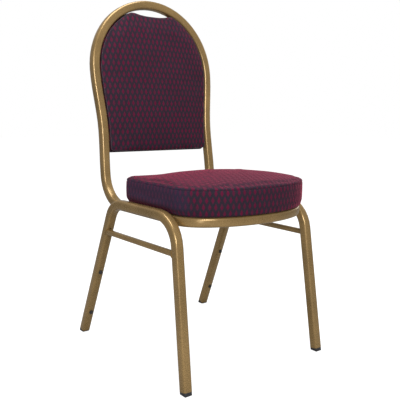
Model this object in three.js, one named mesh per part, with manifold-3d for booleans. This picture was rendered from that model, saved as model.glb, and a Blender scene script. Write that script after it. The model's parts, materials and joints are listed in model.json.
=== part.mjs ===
// Round-backed stacking banquet chair: bent square steel tube frame, upholstered seat and back.
// Millimetres. +Z up, the sitter faces -Y, +X is the side to the left of someone sitting in it.

import * as THREE from 'three';
import { mergeVertices } from 'three/addons/utils/BufferGeometryUtils.js';
import Module from 'manifold-3d';

const wasm = await Module();
wasm.setup();

// ---------------------------------------------------------------- driving dimensions

const GAP = 0.3; // between touching pieces

const TUBE = 24; // side of the square frame tube
const TUBE_CORNER = 5.6;
const TUBE_WALL = 1.2;
const STRETCHER = 13.4;
const STRETCHER_CORNER = 3;
const STRETCHER_WALL = 1;

// Leg frames: an inverted U on each side, leaning out a little towards the floor.
const LEG_RAIL_Z = 406.4; // centre of the U's top rail
const LEG_RAIL_X = 213.2;
const LEG_FOOT_X = 223.4;
const FRONT_FOOT_Y = -65.7; // where each leg's centre line meets the floor
const REAR_FOOT_Y = 447.4;
const FRONT_LEG_RISE = 0.146; // y gained for each mm up
const REAR_LEG_RISE = -0.421;
const FRONT_BEND = 78;
const REAR_BEND = 63;
const FRONT_TUBE_END_Z = 8.6; // centre of the cut end above the floor
const REAR_TUBE_END_Z = 8.6;
const STRETCHER_Z = 324.2;
const VENT_HOLE_Z = 338;
const VENT_HOLE_R = 2.4;

// Seat loop: a U of tube with an elliptical front, inside the leg frames.
const LOOP_Z = 395;
const LOOP_X = 186;
const LOOP_FRONT_Y = -74; // centre line at the middle of the bow
const LOOP_BOW_START_Y = 20;

// Back hoop, measured up the reclined back plane from the loop's height.
const RECLINE = Math.atan(0.124);
const BACK_FOOT_Y = 361.9; // where the back plane crosses the loop's height
const HOOP_BEND = 86;
const WAIST_X = 182.4;
const WAIST_V = 202.5;
const SHOULDER_X = 195.1;
const SHOULDER_V = 371.5;
const DOME_RISE = 193.7;

// Seat, from the loop upwards.
const DUST_COVER_THICK = 0.9;
const BOARD_THICK = 12;
const SEAT_HALF_WIDTH = 205.5;
const SEAT_SKIRT_HALF_WIDTH = 198.5; // lower band, between the leg rails
const SEAT_FRONT_Y = -94;
const SEAT_REAR_Y = 246;
const SEAT_BOW_START_Y = 16;
const SEAT_REAR_CORNER = 22;
const SEAT_CROWN_Z = 497;
const SEAT_EDGE_Z = 480; // top of the cushion along its sides
const FABRIC = 1.6;

// Back pad: depths are forward of the hoop's centre plane.
const PAD_BOTTOM_V = 140;
const PAD_CORNER = 12;
const PAD_EDGE_DEPTH = 15; // at the sides; the top and bottom edges drop half as far
const PAD_CROWN_DEPTH = 26;
const SCOOP_BOTTOM_V = 529.5;
const SCOOP_RADIUS = 255;
const BACK_BOARD_REAR = -1.7;
const BACK_BOARD_FRONT = 6.3;
const REAR_PANEL_REAR = -11;
const REAR_PANEL_FRONT = -7.6;

// Small steel and plastic pieces.
const BRACE_WIDTH = 30;
const BRACE_THICK = 4;
const BRACE_YS = { front: 62, rear: 205 };
const SEAT_SCREW_X = 120;
const TAB_WIDTH = 26;
const TAB_REACH = 24;
const TAB_THICK = 2.4;
const TAB_VS = { lower: 185, upper: 355 };
const BUMPER_ZS = { upper: 205, lower: 73 };
const BUMPER_R = 6;
const BUMPER_DOME = 5.4;

const STEEL = { color: 0x9a7b45, roughness: 0.38, metalness: 0.75 };
const PLASTIC = { color: 0x17181c, roughness: 0.55, metalness: 0 };
const CLOTH = { color: 0x6a2340, roughness: 0.85, metalness: 0 };
const FOAM = { color: 0xe6dcb8, roughness: 0.95, metalness: 0 };
const PLYWOOD = { color: 0xb98f5c, roughness: 0.7, metalness: 0 };
const ZINC = { color: 0xb8bcc2, roughness: 0.4, metalness: 0.9 };
const LINING = { color: 0x1b1b1d, roughness: 0.95, metalness: 0 };

// ---------------------------------------------------------------- solids

function toSolid(geometry) {
  const bare = geometry.index ? geometry.clone() : geometry;
  bare.deleteAttribute('normal');
  bare.deleteAttribute('uv');
  const merged = mergeVertices(bare, 1e-3);
  const vertProperties = new Float32Array(merged.attributes.position.array);
  const triVerts = new Uint32Array(merged.index.array);
  return new wasm.Manifold(new wasm.Mesh({ numProp: 3, vertProperties, triVerts }));
}

function toGeometry(solid) {
  const mesh = solid.getMesh();
  const geometry = new THREE.BufferGeometry();
  geometry.setAttribute('position', new THREE.BufferAttribute(mesh.vertProperties, 3));
  geometry.setIndex(new THREE.BufferAttribute(mesh.triVerts, 1));
  geometry.computeVertexNormals();
  return geometry;
}

function named(name, geometry, look) {
  const mesh = new THREE.Mesh(geometry, new THREE.MeshStandardMaterial(look));
  mesh.name = name;
  return mesh;
}

function boxBetween(low, high) {
  const size = high.map((value, i) => value - low[i]);
  const geometry = new THREE.BoxGeometry(...size);
  return geometry.translate(...low.map((value, i) => value + size[i] / 2));
}

function roundedSquare(outline, half, corner) {
  const flat = half - corner;
  outline.moveTo(half, -flat);
  outline.absarc(flat, flat, corner, 0, Math.PI / 2, false);
  outline.absarc(-flat, flat, corner, Math.PI / 2, Math.PI, false);
  outline.absarc(-flat, -flat, corner, Math.PI, 1.5 * Math.PI, false);
  outline.absarc(flat, -flat, corner, 1.5 * Math.PI, 2 * Math.PI, false);
  return outline;
}

function tubeSection(side, corner, wall) {
  const section = roundedSquare(new THREE.Shape(), side / 2, corner);
  section.holes.push(roundedSquare(new THREE.Path(), side / 2 - wall, corner - wall));
  return section;
}

const FRAME_SECTION = tubeSection(TUBE, TUBE_CORNER, TUBE_WALL);

// A tube's centre line, held as the stations where its section is drawn.
class StationPath extends THREE.Curve {
  constructor(stations) {
    super();
    this.stations = stations;
  }

  stationAt(u) {
    return this.stations[Math.round(u * (this.stations.length - 1))];
  }

  getPointAt(u) {
    return this.stationAt(u).point.clone();
  }

  getTangentAt(u) {
    return this.stationAt(u).tangent.clone().normalize();
  }
}

function sweep(section, stations) {
  return new THREE.ExtrudeGeometry(section, {
    steps: stations.length - 1,
    curveSegments: 1,
    extrudePath: new StationPath(stations),
  });
}

// Straight runs through the given corners, with a circular bend at each inner one.
function bentStations(corners, bends, steps) {
  const heading = (i) => corners[i + 1].clone().sub(corners[i]).normalize();
  const stations = [{ point: corners[0].clone(), tangent: heading(0) }];
  bends.forEach((radius, i) => {
    const before = heading(i);
    const after = heading(i + 1);
    const turn = before.angleTo(after);
    const inward = after.clone().addScaledVector(before, -after.dot(before)).normalize();
    const start = corners[i + 1].clone().addScaledVector(before, -radius * Math.tan(turn / 2));
    const centre = start.clone().addScaledVector(inward, radius);
    for (let step = 0; step <= steps; step += 1) {
      const angle = (turn * step) / steps;
      const spoke = inward.clone().multiplyScalar(-Math.cos(angle));
      spoke.addScaledVector(before, Math.sin(angle));
      const tangent = before.clone().multiplyScalar(Math.cos(angle));
      tangent.addScaledVector(inward, Math.sin(angle));
      stations.push({ point: centre.clone().addScaledVector(spoke, radius), tangent });
    }
  });
  const last = corners.length - 1;
  stations.push({ point: corners[last].clone(), tangent: heading(last - 1) });
  return stations;
}

// ---------------------------------------------------------------- leg frames

const LEG_LEAN = Math.atan((LEG_FOOT_X - LEG_RAIL_X) / LEG_RAIL_Z);

// The centre line of a leg in its own upright plane, with the top rail along Y.
function legY(foot, rise, z) {
  return foot + rise * z;
}

function legStations() {
  const at = (foot, rise, z) => new THREE.Vector3(0, legY(foot, rise, z), z - LEG_RAIL_Z);
  const corners = [
    at(FRONT_FOOT_Y, FRONT_LEG_RISE, FRONT_TUBE_END_Z),
    at(FRONT_FOOT_Y, FRONT_LEG_RISE, LEG_RAIL_Z),
    at(REAR_FOOT_Y, REAR_LEG_RISE, LEG_RAIL_Z),
    at(REAR_FOOT_Y, REAR_LEG_RISE, REAR_TUBE_END_Z),
  ];
  return bentStations(corners, [FRONT_BEND, REAR_BEND], 8);
}

// Turns a shape made along +Z so that it points out of the rear leg's front face at height z.
function ontoRearLegFront(geometry, z) {
  const lean = Math.atan(REAR_LEG_RISE);
  geometry.rotateX(Math.PI / 2 - lean);
  const face = new THREE.Vector3(0, -TUBE / 2 * Math.cos(lean), TUBE / 2 * Math.sin(lean));
  const y = legY(REAR_FOOT_Y, REAR_LEG_RISE, z);
  return geometry.translate(0, y + face.y, z - LEG_RAIL_Z + face.z);
}

function roundBar(radius, length, sides = 16) {
  return new THREE.CylinderGeometry(radius, radius, length, sides).rotateX(Math.PI / 2);
}

const BUMPER_STEM_R = 3;
const BUMPER_STEM = 7;

function legTube() {
  let tube = toSolid(sweep(FRAME_SECTION, legStations()));
  for (const z of Object.values(BUMPER_ZS)) {
    const hole = ontoRearLegFront(roundBar(BUMPER_STEM_R + GAP, 8, 12), z);
    tube = tube.subtract(toSolid(hole));
  }
  return tube.subtract(toSolid(ontoRearLegFront(roundBar(VENT_HOLE_R, 8, 12), VENT_HOLE_Z)));
}

function stretcherTube(outward) {
  const offset = outward * (TUBE - STRETCHER) / 2;
  const frontY = legY(FRONT_FOOT_Y, FRONT_LEG_RISE, STRETCHER_Z);
  const rearY = legY(REAR_FOOT_Y, REAR_LEG_RISE, STRETCHER_Z);
  const along = new THREE.Vector3(0, 1, 0);
  const ends = [frontY, rearY].map((y) => new THREE.Vector3(offset, y, STRETCHER_Z - LEG_RAIL_Z));
  const stations = ends.map((point) => ({ point, tangent: along }));
  const bar = toSolid(sweep(tubeSection(STRETCHER, STRETCHER_CORNER, STRETCHER_WALL), stations));
  const clearance = roundedSquare(new THREE.Shape(), TUBE / 2 + GAP, TUBE_CORNER);
  return bar.subtract(toSolid(sweep(clearance, legStations())));
}

function bumper(z) {
  const profile = [
    new THREE.Vector2(0, -BUMPER_STEM),
    new THREE.Vector2(BUMPER_STEM_R, -BUMPER_STEM),
    new THREE.Vector2(BUMPER_STEM_R, GAP),
    new THREE.Vector2(BUMPER_R, GAP),
    new THREE.Vector2(BUMPER_R * 0.94, GAP + BUMPER_DOME * 0.45),
    new THREE.Vector2(BUMPER_R * 0.68, GAP + BUMPER_DOME * 0.85),
    new THREE.Vector2(0, GAP + BUMPER_DOME),
  ];
  return ontoRearLegFront(new THREE.LatheGeometry(profile, 16).rotateX(Math.PI / 2), z);
}

function legFrame(side, outward) {
  const frame = new THREE.Group();
  frame.position.set(outward * LEG_RAIL_X, 0, LEG_RAIL_Z);
  frame.rotation.y = -outward * LEG_LEAN;
  frame.add(named(`leg_frame_${side}`, toGeometry(legTube()), STEEL));
  frame.add(named(`side_stretcher_${side}`, toGeometry(stretcherTube(outward)), STEEL));
  for (const [level, z] of Object.entries(BUMPER_ZS)) {
    frame.add(named(`stack_bumper_${level}_${side}`, bumper(z), PLASTIC));
  }
  return frame;
}

// ---------------------------------------------------------------- glides

const GLIDE_CHAMFER = 3;
const GLIDE_STEM = 14;
const GLIDE_DEEP = 60;

// A plastic plug in the end of a leg: a stem inside the tube and a wedge with a level sole.
function glide(side, end, outward) {
  const front = end === 'front';
  const foot = front ? FRONT_FOOT_Y : REAR_FOOT_Y;
  const rise = front ? FRONT_LEG_RISE : REAR_LEG_RISE;
  const tubeEnd = front ? FRONT_TUBE_END_Z : REAR_TUBE_END_Z;
  const lean = Math.atan(rise);
  const place = (geometry) => {
    geometry.rotateX(-lean);
    geometry.translate(0, legY(foot, rise, tubeEnd), tubeEnd - LEG_RAIL_Z);
    geometry.rotateY(-outward * LEG_LEAN);
    return geometry.translate(outward * LEG_RAIL_X, 0, LEG_RAIL_Z);
  };
  const rim = roundedSquare(new THREE.Shape(), TUBE / 2 - 0.2, TUBE_CORNER);
  const skin = TUBE_WALL + GAP;
  const plug = roundedSquare(new THREE.Shape(), TUBE / 2 - skin, TUBE_CORNER - skin);
  const extrude = (shape, depth) => new THREE.ExtrudeGeometry(shape, {
    depth,
    curveSegments: 1,
    bevelEnabled: false,
  });
  const cap = toSolid(place(extrude(rim, GLIDE_DEEP).translate(0, 0, -GLIDE_DEEP - GAP)));
  const stem = toSolid(place(extrude(plug, GLIDE_STEM + 2).translate(0, 0, -2)));
  const soleY = legY(foot, rise, 0);
  const deep = TUBE / 2 / Math.cos(lean) - GLIDE_CHAMFER;
  const wide = TUBE / 2 - GLIDE_CHAMFER;
  const spread = 40;
  const wedge = new THREE.CylinderGeometry(Math.SQRT2, Math.SQRT2, 1, 4, 1);
  wedge.rotateY(Math.PI / 4).rotateX(Math.PI / 2).translate(0, 0, 0.5);
  const corners = wedge.attributes.position;
  for (let i = 0; i < corners.count; i += 1) {
    const up = corners.getZ(i) > 0.5 ? spread : 0;
    corners.setX(i, Math.sign(corners.getX(i)) * (corners.getX(i) ? wide + up : 0));
    corners.setY(i, Math.sign(corners.getY(i)) * (corners.getY(i) ? deep + up : 0));
    corners.setZ(i, up);
  }
  wedge.translate(outward * LEG_FOOT_X, soleY, 0);
  return named(`glide_${end}_${side}`, toGeometry(cap.add(stem).intersect(toSolid(wedge))), PLASTIC);
}

// ---------------------------------------------------------------- seat loop and braces

const SPACER_YS = { front: [30, 74], rear: [206, 250] };

// Flat blocks welded between the seat loop and the leg frames, where the two tubes overlap in height.
function spacers() {
  const inner = LOOP_X + TUBE / 2 + GAP;
  const lean = Math.tan(LEG_LEAN);
  const low = LEG_RAIL_Z - TUBE / 2 + TUBE_CORNER;
  const high = LOOP_Z + TUBE / 2 - 1;
  const outer = LEG_RAIL_X - TUBE / 2 - GAP - lean * (high - LEG_RAIL_Z + TUBE);
  return Object.entries(SPACER_YS).flatMap(([place, [from, to]]) => [['left', 1], ['right', -1]].map(
    ([side, outward]) => {
      const across = [outward * inner, outward * outer].sort((a, b) => a - b);
      const block = boxBetween([across[0], from, low], [across[1], to, high]);
      return named(`weld_spacer_${place}_${side}`, block, STEEL);
    },
  ));
}

// A D outline in plan: straight sides, an elliptical front and round rear corners.
function seatOutline(half, frontY, rearY, corner) {
  const outline = new THREE.Shape();
  const bowStart = SEAT_BOW_START_Y;
  outline.moveTo(-half, bowStart);
  outline.absellipse(0, bowStart, half, bowStart - frontY, Math.PI, 2 * Math.PI, false);
  outline.absarc(half - corner, rearY - corner, corner, 0, Math.PI / 2, false);
  outline.absarc(-half + corner, rearY - corner, corner, Math.PI / 2, Math.PI, false);
  return outline;
}

function loopTube() {
  const rear = BACK_FOOT_Y - HOOP_BEND * Math.tan((Math.PI / 2 - RECLINE) / 2) - GAP;
  const depth = LOOP_BOW_START_Y - LOOP_FRONT_Y;
  const stations = [];
  stations.push({ point: new THREE.Vector3(-LOOP_X, rear, LOOP_Z), tangent: new THREE.Vector3(0, -1, 0) });
  const steps = 30;
  for (let i = 0; i <= steps; i += 1) {
    const angle = (Math.PI * i) / steps;
    const x = -LOOP_X * Math.cos(angle);
    const y = LOOP_BOW_START_Y - depth * Math.sin(angle);
    const tangent = new THREE.Vector3(LOOP_X * Math.sin(angle), -depth * Math.cos(angle), 0);
    stations.push({ point: new THREE.Vector3(x, y, LOOP_Z), tangent });
  }
  stations.push({ point: new THREE.Vector3(LOOP_X, rear, LOOP_Z), tangent: new THREE.Vector3(0, 1, 0) });
  return named('seat_loop', sweep(FRAME_SECTION, stations), STEEL);
}

const LOOP_TOP_Z = LOOP_Z + TUBE / 2;
const BOARD_Z = LOOP_TOP_Z + 2 * GAP + DUST_COVER_THICK;
const SCREW_R = 2.4;
const SCREW_HEAD_R = 5.5;
const SCREW_HEAD = 2.6;

function screwSolid(shank) {
  const profile = [
    new THREE.Vector2(0, -SCREW_HEAD),
    new THREE.Vector2(SCREW_HEAD_R * 0.62, -SCREW_HEAD),
    new THREE.Vector2(SCREW_HEAD_R, -SCREW_HEAD * 0.3),
    new THREE.Vector2(SCREW_HEAD_R, 0),
    new THREE.Vector2(SCREW_R, 0),
    new THREE.Vector2(SCREW_R, shank - 2),
    new THREE.Vector2(0, shank),
  ];
  return new THREE.LatheGeometry(profile, 10).rotateX(Math.PI / 2);
}

function drilled(solid, places, radius, low, high) {
  let result = solid;
  for (const [x, y] of places) {
    const drill = roundBar(radius, high - low, 12).translate(x, y, (low + high) / 2);
    result = result.subtract(toSolid(drill));
  }
  return result;
}

function screwPlaces() {
  return Object.values(BRACE_YS).flatMap((y) => [[-SEAT_SCREW_X, y], [SEAT_SCREW_X, y]]);
}

function braces() {
  const half = LOOP_X - TUBE / 2 - GAP;
  const top = LOOP_TOP_Z;
  return Object.entries(BRACE_YS).map(([place, y]) => {
    const bar = toSolid(boxBetween(
      [-half, y - BRACE_WIDTH / 2, top - BRACE_THICK],
      [half, y + BRACE_WIDTH / 2, top],
    ));
    const holes = [[-SEAT_SCREW_X, y], [SEAT_SCREW_X, y]];
    const cut = drilled(bar, holes, SCREW_R + GAP, top - BRACE_THICK - 1, top + 1);
    return named(`seat_brace_${place}`, toGeometry(cut), STEEL);
  });
}

function seatScrews() {
  const names = { '-1': 'right', 1: 'left' };
  const under = LOOP_TOP_Z - BRACE_THICK - GAP;
  return Object.entries(BRACE_YS).flatMap(([place, y]) => [-1, 1].map((sign) => {
    const screw = screwSolid(BRACE_THICK + 12).translate(sign * SEAT_SCREW_X, y, under);
    return named(`seat_screw_${place}_${names[sign]}`, screw, ZINC);
  }));
}

// ---------------------------------------------------------------- seat

function slab(shape, low, high, curveSegments = 8) {
  const settings = { depth: high - low, curveSegments, bevelEnabled: false };
  return new THREE.ExtrudeGeometry(shape, settings).translate(0, 0, low);
}

// An ellipsoid whose top is the crown and whose surface drops to edge at the given reaches.
function crownBody(reachX, reachY, crown, edge) {
  const tall = 400;
  const level = (tall - crown + edge) / tall;
  const spread = Math.sqrt(1 - level * level);
  const ball = new THREE.SphereGeometry(1, 40, 40).rotateX(Math.PI / 2);
  return ball.scale(reachX / spread, reachY / spread, tall).translate(0, 0, crown - tall);
}

function seatBody(inset, bottom, skirtTop) {
  const front = SEAT_FRONT_Y + inset;
  const rear = SEAT_REAR_Y - inset;
  const corner = SEAT_REAR_CORNER - inset;
  const middle = (SEAT_FRONT_Y + SEAT_REAR_Y) / 2;
  const reach = (SEAT_REAR_Y - SEAT_FRONT_Y) / 2;
  const edge = SEAT_EDGE_Z - inset;
  const outline = seatOutline(SEAT_HALF_WIDTH - inset, front, rear, corner);
  const crown = crownBody(SEAT_HALF_WIDTH, reach, SEAT_CROWN_Z - inset, edge).translate(0, middle, 0);
  const raised = toSolid(slab(outline, skirtTop, SEAT_CROWN_Z + 5)).intersect(toSolid(crown));
  const skirt = slab(seatOutline(SEAT_SKIRT_HALF_WIDTH - inset, front, rear, corner), bottom, skirtTop + 1);
  return raised.add(toSolid(slab(outline, skirtTop, edge))).add(toSolid(skirt));
}

const SKIRT_TOP_Z = LEG_RAIL_Z + TUBE / 2 + GAP;

function seatPieces() {
  const inner = FABRIC + GAP;
  const boardTop = BOARD_Z + BOARD_THICK;
  const coverOuter = seatBody(0, BOARD_Z, SKIRT_TOP_Z);
  const cover = coverOuter.subtract(seatBody(FABRIC, BOARD_Z - 2, SKIRT_TOP_Z + FABRIC));
  const foam = seatBody(inner, boardTop + GAP, boardTop + GAP + 1);
  const boardShape = seatOutline(SEAT_SKIRT_HALF_WIDTH - inner, SEAT_FRONT_Y + inner, SEAT_REAR_Y - inner, 24);
  const board = drilled(toSolid(slab(boardShape, BOARD_Z, boardTop)), screwPlaces(), SCREW_R + GAP,
    BOARD_Z - 1, BOARD_Z + 11);
  const liningShape = seatOutline(SEAT_SKIRT_HALF_WIDTH - 8, SEAT_FRONT_Y + 12, SEAT_REAR_Y - 8, 18);
  const liningLow = LOOP_TOP_Z + GAP;
  const lining = drilled(toSolid(slab(liningShape, liningLow, liningLow + DUST_COVER_THICK)), screwPlaces(),
    SCREW_R + GAP, liningLow - 1, liningLow + 3);
  return [
    named('seat_cover', toGeometry(cover), CLOTH),
    named('seat_foam', toGeometry(foam), FOAM),
    named('seat_board', toGeometry(board), PLYWOOD),
    named('seat_dust_cover', toGeometry(lining), LINING),
  ];
}

// ---------------------------------------------------------------- back hoop

const BEND_SETBACK = HOOP_BEND * Math.tan((Math.PI / 2 - RECLINE) / 2);

// Half the hoop's width on its centre line, v up the back plane, below the dome.
function hoopHalfWidth(v) {
  if (v > WAIST_V) {
    const rise = THREE.MathUtils.smoothstep(v, WAIST_V, SHOULDER_V);
    return THREE.MathUtils.lerp(WAIST_X, SHOULDER_X, rise);
  }
  return THREE.MathUtils.lerp(LOOP_X, WAIST_X, THREE.MathUtils.smoothstep(v, BEND_SETBACK, WAIST_V));
}

// A point on the back plane, forward of it by depth.
function onBack(x, v, depth = 0) {
  const y = BACK_FOOT_Y + v * Math.sin(RECLINE) - depth * Math.cos(RECLINE);
  return new THREE.Vector3(x, y, LOOP_Z + v * Math.cos(RECLINE) + depth * Math.sin(RECLINE));
}

function leftHoopStations() {
  const foot = onBack(-LOOP_X, 0);
  const railEnd = foot.clone().setY(foot.y - BEND_SETBACK);
  const top = onBack(-LOOP_X, BEND_SETBACK);
  const bend = bentStations([railEnd, foot, top], [HOOP_BEND], 10).slice(1, -1);
  const heading = (dx, dv) => onBack(dx, dv).sub(onBack(0, 0));
  const sides = [];
  const sideSteps = 14;
  for (let i = 1; i < sideSteps; i += 1) {
    const v = THREE.MathUtils.lerp(BEND_SETBACK, SHOULDER_V, i / sideSteps);
    const flare = hoopHalfWidth(v + 1) - hoopHalfWidth(v - 1);
    sides.push({ point: onBack(-hoopHalfWidth(v), v), tangent: heading(-flare, 2) });
  }
  const dome = [];
  const domeSteps = 20;
  for (let i = 0; i < domeSteps; i += 1) {
    const angle = (Math.PI / 2) * (i / domeSteps);
    const point = onBack(-SHOULDER_X * Math.cos(angle), SHOULDER_V + DOME_RISE * Math.sin(angle));
    dome.push({ point, tangent: heading(SHOULDER_X * Math.sin(angle), DOME_RISE * Math.cos(angle)) });
  }
  return [...bend, ...sides, ...dome];
}

function mirrored({ point, tangent }) {
  return {
    point: new THREE.Vector3(-point.x, point.y, point.z),
    tangent: new THREE.Vector3(tangent.x, -tangent.y, -tangent.z),
  };
}

function hoopTube() {
  const left = leftHoopStations();
  const apex = { point: onBack(0, SHOULDER_V + DOME_RISE), tangent: new THREE.Vector3(1, 0, 0) };
  const stations = [...left, apex, ...left.map(mirrored).reverse()];
  return named('back_hoop', sweep(FRAME_SECTION, stations), STEEL);
}

// ---------------------------------------------------------------- back pad

// The outline inside the hoop, in the back plane, inset from the tube's inner face.
function backOutline(inset) {
  const outline = new THREE.Shape();
  const reach = TUBE / 2 + inset;
  const bottom = PAD_BOTTOM_V + Math.max(inset - GAP * 2, 0);
  const low = hoopHalfWidth(bottom) - reach;
  const points = [];
  const steps = 10;
  for (let i = 0; i < steps; i += 1) {
    const v = THREE.MathUtils.lerp(bottom + PAD_CORNER, SHOULDER_V, i / steps);
    points.push(new THREE.Vector2(hoopHalfWidth(v) - reach, v));
  }
  outline.moveTo(-low + PAD_CORNER, bottom);
  outline.lineTo(low - PAD_CORNER, bottom);
  outline.quadraticCurveTo(low, bottom, points[0].x, points[0].y);
  points.forEach((point) => outline.lineTo(point.x, point.y));
  outline.absellipse(0, SHOULDER_V, SHOULDER_X - reach, DOME_RISE - reach, 0, Math.PI, false);
  points.reverse().forEach((point) => outline.lineTo(-point.x, point.y));
  outline.quadraticCurveTo(-low, bottom, -low + PAD_CORNER, bottom);
  return outline;
}

function scoopCutter(inset) {
  const cutter = new THREE.CylinderGeometry(SCOOP_RADIUS + inset, SCOOP_RADIUS + inset, 120, 120);
  return toSolid(cutter.rotateX(Math.PI / 2).translate(0, SCOOP_BOTTOM_V + SCOOP_RADIUS, 0));
}

// In the pad's own frame X is across, Y is up the back plane and Z is forward.
function padSlab(inset, rear, front) {
  return toSolid(slab(backOutline(inset), rear, front, 14)).subtract(scoopCutter(Math.max(inset - 2 * GAP, 0)));
}

function padBody(inset, rear) {
  const middle = (PAD_BOTTOM_V + SCOOP_BOTTOM_V) / 2;
  const reach = 0.75 * (SCOOP_BOTTOM_V - PAD_BOTTOM_V);
  const skin = Math.max(inset - 2 * GAP, 0);
  const crown = crownBody(WAIST_X - TUBE / 2, reach, PAD_CROWN_DEPTH - skin, PAD_EDGE_DEPTH - skin);
  return padSlab(inset, rear, PAD_CROWN_DEPTH + 5).intersect(toSolid(crown.translate(0, middle, 0)));
}

function tabPlaces() {
  return Object.entries(TAB_VS).flatMap(([level, v]) => [-1, 1].map((sign) => {
    const narrowest = Math.min(hoopHalfWidth(v - TAB_WIDTH / 2), hoopHalfWidth(v + TAB_WIDTH / 2));
    const edge = sign * (narrowest - TUBE / 2 - GAP);
    const screwX = edge - sign * (TAB_REACH - 8);
    return { level, v, sign, edge, screwX, side: sign > 0 ? 'left' : 'right' };
  }));
}

function backHardware() {
  const tabFront = BACK_BOARD_REAR - GAP;
  return tabPlaces().flatMap(({ level, v, sign, edge, screwX, side }) => {
    const inner = edge - sign * TAB_REACH;
    const plate = boxBetween(
      [Math.min(edge, inner), v - TAB_WIDTH / 2, tabFront - TAB_THICK],
      [Math.max(edge, inner), v + TAB_WIDTH / 2, tabFront],
    );
    const tab = drilled(toSolid(plate), [[screwX, v]], SCREW_R + GAP, tabFront - 5, tabFront + 1);
    const screw = screwSolid(TAB_THICK + 7).translate(screwX, v, tabFront - TAB_THICK - GAP);
    return [
      named(`back_tab_${level}_${side}`, toGeometry(tab), STEEL),
      named(`back_screw_${level}_${side}`, screw, ZINC),
    ];
  });
}

function backPieces() {
  const back = new THREE.Group();
  back.position.copy(onBack(0, 0));
  back.rotation.x = Math.PI / 2 - RECLINE;
  const edge = 2 * GAP;
  const inner = edge + FABRIC;
  const holes = tabPlaces().map(({ screwX, v }) => [screwX, v]);
  const board = drilled(padSlab(inner + GAP, BACK_BOARD_REAR, BACK_BOARD_FRONT), holes, SCREW_R + GAP,
    BACK_BOARD_REAR - 1, BACK_BOARD_REAR + 7.4);
  const cover = padBody(edge, BACK_BOARD_REAR).subtract(padBody(inner, BACK_BOARD_REAR - 2));
  const foam = padBody(inner + GAP, BACK_BOARD_FRONT + GAP);
  back.add(named('back_cover', toGeometry(cover), CLOTH));
  back.add(named('back_foam', toGeometry(foam), FOAM));
  back.add(named('back_board', toGeometry(board), PLYWOOD));
  back.add(named('back_rear_panel', toGeometry(padSlab(edge, REAR_PANEL_REAR, REAR_PANEL_FRONT)), CLOTH));
  back.add(...backHardware());
  return back;
}

// ---------------------------------------------------------------- the chair

const chair = new THREE.Group();
chair.add(hoopTube(), loopTube(), ...braces(), ...spacers(), ...seatScrews(), ...seatPieces(), backPieces());
for (const [side, outward] of [['left', 1], ['right', -1]]) {
  chair.add(legFrame(side, outward));
  chair.add(glide(side, 'front', outward), glide(side, 'rear', outward));
}

// The origin is on the floor under the middle of the chair's box.
chair.updateMatrixWorld(true);
const middle = new THREE.Box3().setFromObject(chair, true).getCenter(new THREE.Vector3());
chair.position.y = -middle.y;

export default chair;
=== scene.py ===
import json
import math

import bpy
import numpy as np
from bpy.props import FloatProperty, FloatVectorProperty, IntProperty, PointerProperty
from mathutils import Matrix, Vector, noise


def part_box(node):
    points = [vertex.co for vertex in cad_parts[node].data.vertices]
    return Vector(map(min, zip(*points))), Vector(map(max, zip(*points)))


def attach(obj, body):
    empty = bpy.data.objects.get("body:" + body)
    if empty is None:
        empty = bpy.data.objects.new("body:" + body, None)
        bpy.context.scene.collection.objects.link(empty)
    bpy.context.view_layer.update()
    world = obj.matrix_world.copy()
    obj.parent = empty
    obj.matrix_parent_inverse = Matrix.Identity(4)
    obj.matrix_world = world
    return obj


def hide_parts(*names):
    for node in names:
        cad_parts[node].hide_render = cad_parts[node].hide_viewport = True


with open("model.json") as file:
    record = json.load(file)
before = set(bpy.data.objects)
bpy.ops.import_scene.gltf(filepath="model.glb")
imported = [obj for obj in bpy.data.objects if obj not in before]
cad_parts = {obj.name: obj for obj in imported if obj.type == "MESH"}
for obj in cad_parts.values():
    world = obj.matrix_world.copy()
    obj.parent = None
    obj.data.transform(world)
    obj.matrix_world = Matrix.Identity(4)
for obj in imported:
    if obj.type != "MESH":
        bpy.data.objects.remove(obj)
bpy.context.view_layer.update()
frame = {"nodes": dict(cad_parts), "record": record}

bl_info = {
    "name": "Banquet stacking chair",
    "version": (1, 0, 0),
    "blender": (4, 5, 0),
    "location": "3D View > Sidebar > Chair",
    "description": "Builds the looks of an upholstered stacking chair on its packed frame",
    "category": "Object",
}

TUBE = 0.024
SEAT_BOW = 0.110
FRONT_LEG_LEAN = -0.145
REAR_LEG_LEAN = 0.398
RECLINE = math.atan(0.124)
RISE = Vector((0, math.sin(RECLINE), math.cos(RECLINE)))
PROUD = Vector((0, -math.cos(RECLINE), math.sin(RECLINE)))
CLOTH_START = 1.0
SLOTS = {s["node"]: s["material_slot"] for s in frame["record"]["subparts"]}


# ---------------------------------------------------------------- settings


class FrameSettings(bpy.types.PropertyGroup):
    coat: FloatVectorProperty(
        name="Powder coat",
        description="Colour of the antique gold powder coat",
        subtype="COLOR",
        size=3,
        min=0,
        max=1,
        default=(0.36, 0.23, 0.088),
    )
    bead: FloatProperty(
        name="Weld bead",
        description="How far a weld bead stands out from the tube",
        unit="LENGTH",
        default=0.0011,
    )
    corner_angle: FloatProperty(
        name="Corner angle",
        description="Edges sharper than this stay crisp",
        subtype="ANGLE",
        default=math.radians(52),
    )


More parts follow.
